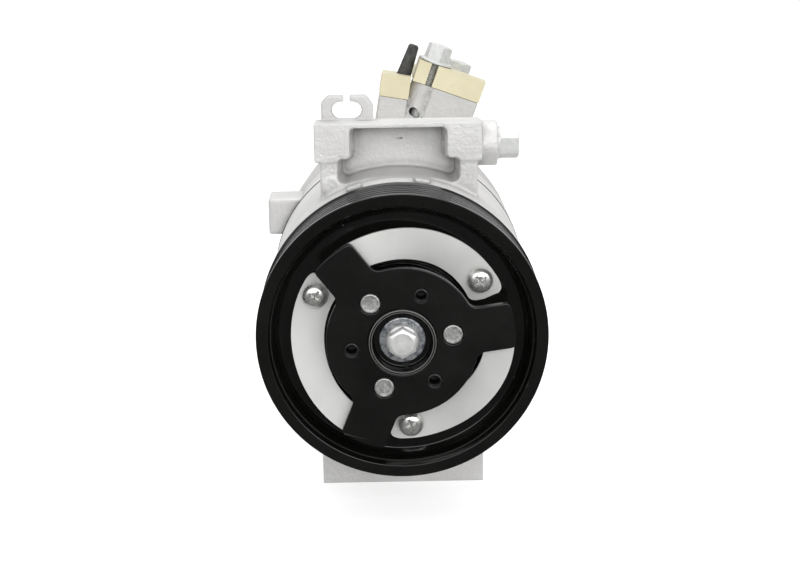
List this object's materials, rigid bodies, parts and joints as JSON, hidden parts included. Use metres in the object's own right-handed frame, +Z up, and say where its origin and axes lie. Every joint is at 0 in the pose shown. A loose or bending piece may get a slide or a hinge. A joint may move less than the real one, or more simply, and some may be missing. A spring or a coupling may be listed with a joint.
{
  "type": "automotive ac compressor",
  "caption": "Clutchless swash-plate air-conditioning compressor with a grooved belt pulley, cast aluminium body, transverse mounting lugs and capped hose ports.",
  "frame": {"origin": "on the floor under the shaft axis, in the plane where front housing and cylinder block meet", "axes": "+Z up, -Y towards the pulley along the shaft axis, +X to the right seen from the pulley side"},
  "size_m": [0.111, 0.2162, 0.1704],
  "materials": {
    "cast_aluminium": "as-cast, fine sand-like grain, light grey",
    "black_coated_steel": "glossy black electro-coat",
    "zinc_plated_steel": "bright zinc plate",
    "spring_steel": "smooth rolled spring steel",
    "ground_steel": "ground",
    "coated_piston": "dry-film coated aluminium",
    "ivory_plastic": "satin moulded ivory",
    "black_rubber": "matt black"
  },
  "bodies": {
    "root": {"front_housing": "cast_aluminium", "cylinder_block": "cast_aluminium", "rear_head": "cast_aluminium", "mount_bush": "zinc_plated_steel", "control_valve": "zinc_plated_steel", "relief_valve": "zinc_plated_steel", "port_bolt_front": "zinc_plated_steel", "port_bolt_rear": "zinc_plated_steel", "through_bolt_1": "zinc_plated_steel", "through_bolt_2": "zinc_plated_steel", "through_bolt_3": "zinc_plated_steel", "through_bolt_4": "zinc_plated_steel", "through_bolt_5": "zinc_plated_steel", "bearing_snap_ring": "spring_steel", "destroke_spring": "spring_steel", "bearing_inner_race": "ground_steel", "front_bearing": "ground_steel", "rear_bearing": "ground_steel", "valve_plate": "ground_steel", "reed_plate": "ground_steel", "port_cap_left": "ivory_plastic", "port_cap_right": "ivory_plastic", "cap_plug": "black_rubber", "shaft_seal": "black_rubber", "front_o_ring": "black_rubber"},
    "rotor": {"pulley": "black_coated_steel", "bearing_outer_race": "ground_steel", "drive_plate": "black_coated_steel", "drive_hub": "black_coated_steel", "plate_rivet_1": "spring_steel", "plate_rivet_2": "spring_steel", "plate_rivet_3": "spring_steel", "leaf_spring_1": "spring_steel", "leaf_spring_2": "spring_steel", "leaf_spring_3": "spring_steel", "spring_screw_1": "zinc_plated_steel", "spring_screw_2": "zinc_plated_steel", "spring_screw_3": "zinc_plated_steel", "hub_washer": "zinc_plated_steel", "hub_bolt": "zinc_plated_steel", "shaft": "ground_steel", "lug_plate": "ground_steel"},
    "bearing_cage": {"bearing_balls": "ground_steel"},
    "sleeve": {"swash_sleeve": "ground_steel"},
    "swash": {"swash_plate": "ground_steel"},
    "piston_body_1": {"piston_1": "coated_piston"},
    "shoe_pair_1": {"shoe_1_front": "ground_steel", "shoe_1_rear": "ground_steel"},
    "piston_body_2": {"piston_2": "coated_piston"},
    "shoe_pair_2": {"shoe_2_front": "ground_steel", "shoe_2_rear": "ground_steel"},
    "piston_body_3": {"piston_3": "coated_piston"},
    "shoe_pair_3": {"shoe_3_front": "ground_steel", "shoe_3_rear": "ground_steel"},
    "piston_body_4": {"piston_4": "coated_piston"},
    "shoe_pair_4": {"shoe_4_front": "ground_steel", "shoe_4_rear": "ground_steel"},
    "piston_body_5": {"piston_5": "coated_piston"},
    "shoe_pair_5": {"shoe_5_front": "ground_steel", "shoe_5_rear": "ground_steel"}
  },
  "joints": [
    {"name": "pulley_spin", "type": "hinge", "parent": "root", "child": "rotor", "pos_m": [0, -0.08725, 0.075], "axis": [0, 1, 0], "continuous": true},
    {"name": "bearing_cage_spin", "type": "hinge", "parent": "root", "child": "bearing_cage", "pos_m": [0, -0.0848, 0.075], "axis": [0, 1, 0], "continuous": true},
    {"name": "sleeve_slide", "type": "slide", "parent": "root", "child": "sleeve", "axis": [0, -1, 0], "range_m": [0, 0.0093], "deforming": ["destroke_spring"]},
    {"name": "swash_tilt", "type": "hinge", "parent": "sleeve", "child": "swash", "pos_m": [0, -0.008, 0.075], "axis": [-1, 0, 0], "range_deg": [0, 16], "stiffness_Nm_per_rad": 2},
    {"name": "piston_slide_1", "type": "slide", "parent": "root", "child": "piston_body_1", "axis": [0, -1, 0], "range_m": [0, 0.00185]},
    {"name": "shoe_tilt_1", "type": "hinge", "parent": "piston_body_1", "child": "shoe_pair_1", "pos_m": [0.01881, -0.008, 0.10089], "axis": [-1, 0, 0], "range_deg": [0, 16.1]},
    {"name": "piston_slide_2", "type": "slide", "parent": "root", "child": "piston_body_2", "axis": [0, -1, 0], "range_m": [0, 0.00185]},
    {"name": "shoe_tilt_2", "type": "hinge", "parent": "piston_body_2", "child": "shoe_pair_2", "pos_m": [-0.01881, -0.008, 0.10089], "axis": [-1, 0, 0], "range_deg": [0, 16.1]},
    {"name": "piston_slide_3", "type": "slide", "parent": "root", "child": "piston_body_3", "axis": [0, -1, 0], "range_m": [0, 0.01211]},
    {"name": "shoe_tilt_3", "type": "hinge", "parent": "piston_body_3", "child": "shoe_pair_3", "pos_m": [-0.03043, -0.008, 0.06511], "axis": [-1, 0, 0], "range_deg": [0, 16.1]},
    {"name": "piston_slide_4", "type": "slide", "parent": "root", "child": "piston_body_4", "axis": [0, -1, 0], "range_m": [0, 0.01845]},
    {"name": "shoe_tilt_4", "type": "hinge", "parent": "piston_body_4", "child": "shoe_pair_4", "pos_m": [0, -0.008, 0.043], "axis": [-1, 0, 0], "range_deg": [0, 16.1]},
    {"name": "piston_slide_5", "type": "slide", "parent": "root", "child": "piston_body_5", "axis": [0, -1, 0], "range_m": [0, 0.01211]},
    {"name": "shoe_tilt_5", "type": "hinge", "parent": "piston_body_5", "child": "shoe_pair_5", "pos_m": [0.03043, -0.008, 0.06511], "axis": [-1, 0, 0], "range_deg": [0, 16.1]}
  ],
  "couplings": [
    {"joint": "bearing_cage_spin", "follows": "pulley_spin", "ratio": 0.55},
    {"joint": "sleeve_slide", "follows": "swash_tilt", "m_per_rad": 0.032859},
    {"joint": "piston_slide_1", "follows": "swash_tilt", "m_per_rad": 0.006275},
    {"joint": "shoe_tilt_1", "follows": "swash_tilt", "ratio": 1},
    {"joint": "piston_slide_2", "follows": "swash_tilt", "m_per_rad": 0.006275},
    {"joint": "shoe_tilt_2", "follows": "swash_tilt", "ratio": 1},
    {"joint": "piston_slide_3", "follows": "swash_tilt", "m_per_rad": 0.043012},
    {"joint": "shoe_tilt_3", "follows": "swash_tilt", "ratio": 1},
    {"joint": "piston_slide_4", "follows": "swash_tilt", "m_per_rad": 0.065717},
    {"joint": "shoe_tilt_4", "follows": "swash_tilt", "ratio": 1},
    {"joint": "piston_slide_5", "follows": "swash_tilt", "m_per_rad": 0.043012},
    {"joint": "shoe_tilt_5", "follows": "swash_tilt", "ratio": 1}
  ]
}
